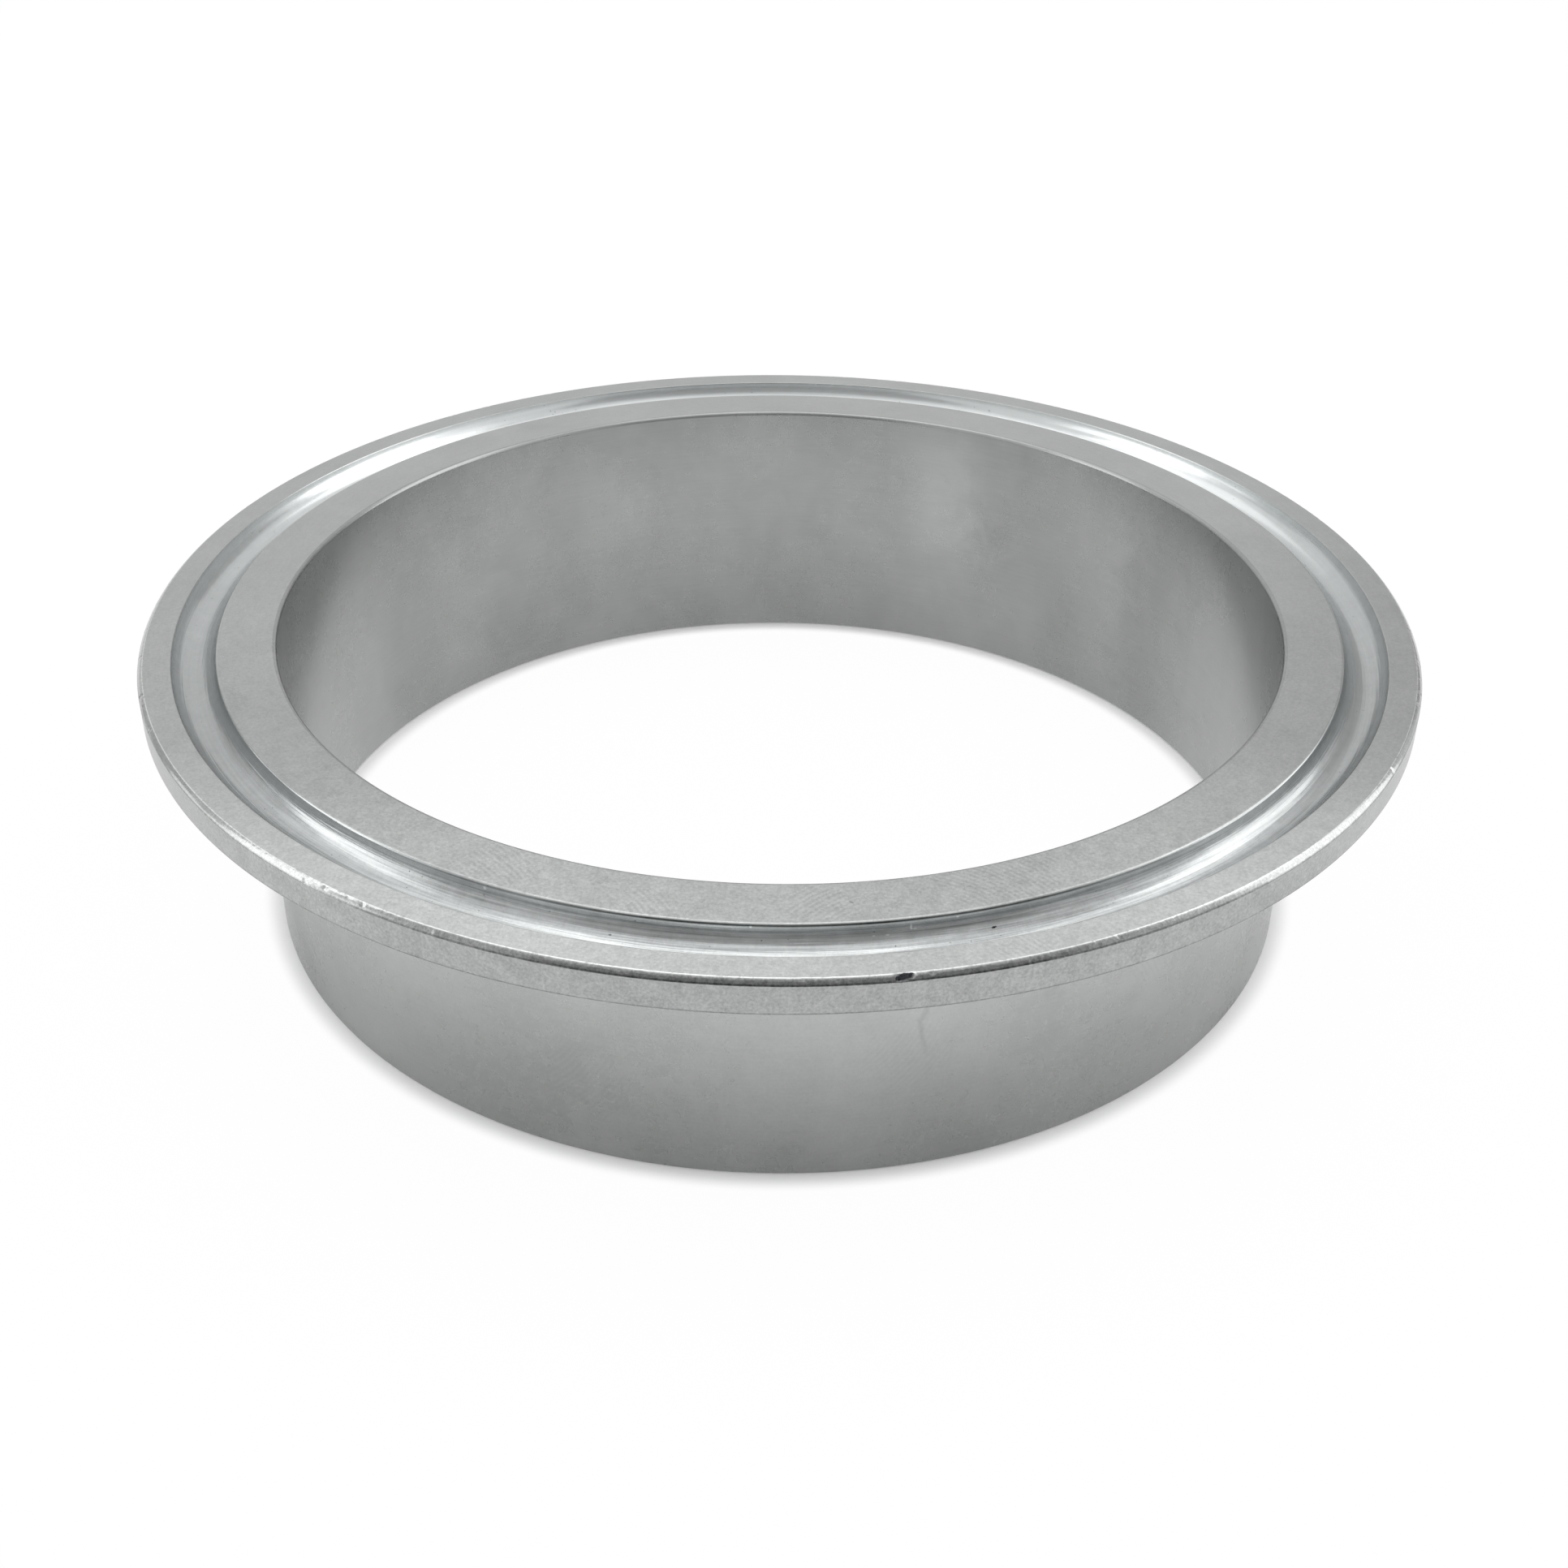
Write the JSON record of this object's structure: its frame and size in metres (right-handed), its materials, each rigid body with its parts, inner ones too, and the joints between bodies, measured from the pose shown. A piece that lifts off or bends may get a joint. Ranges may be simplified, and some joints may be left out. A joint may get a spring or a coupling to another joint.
{
  "type": "sanitary clamp ferrule",
  "caption": "Short turned steel weld ferrule: a straight tube end with a bore and a clamp flange whose flat face has a round-bottomed gasket groove.",
  "frame": {"origin": "centre of the weld end's face, on the bore's axis", "axes": "+Z along the bore's axis, from the weld end to the gasket face"},
  "size_m": [0.091, 0.091, 0.021],
  "materials": {
    "turned_steel": "finely turned and lightly satin, with small nicks on the rim"
  },
  "bodies": {
    "root": {"ferrule": "turned_steel"}
  },
  "joints": []
}
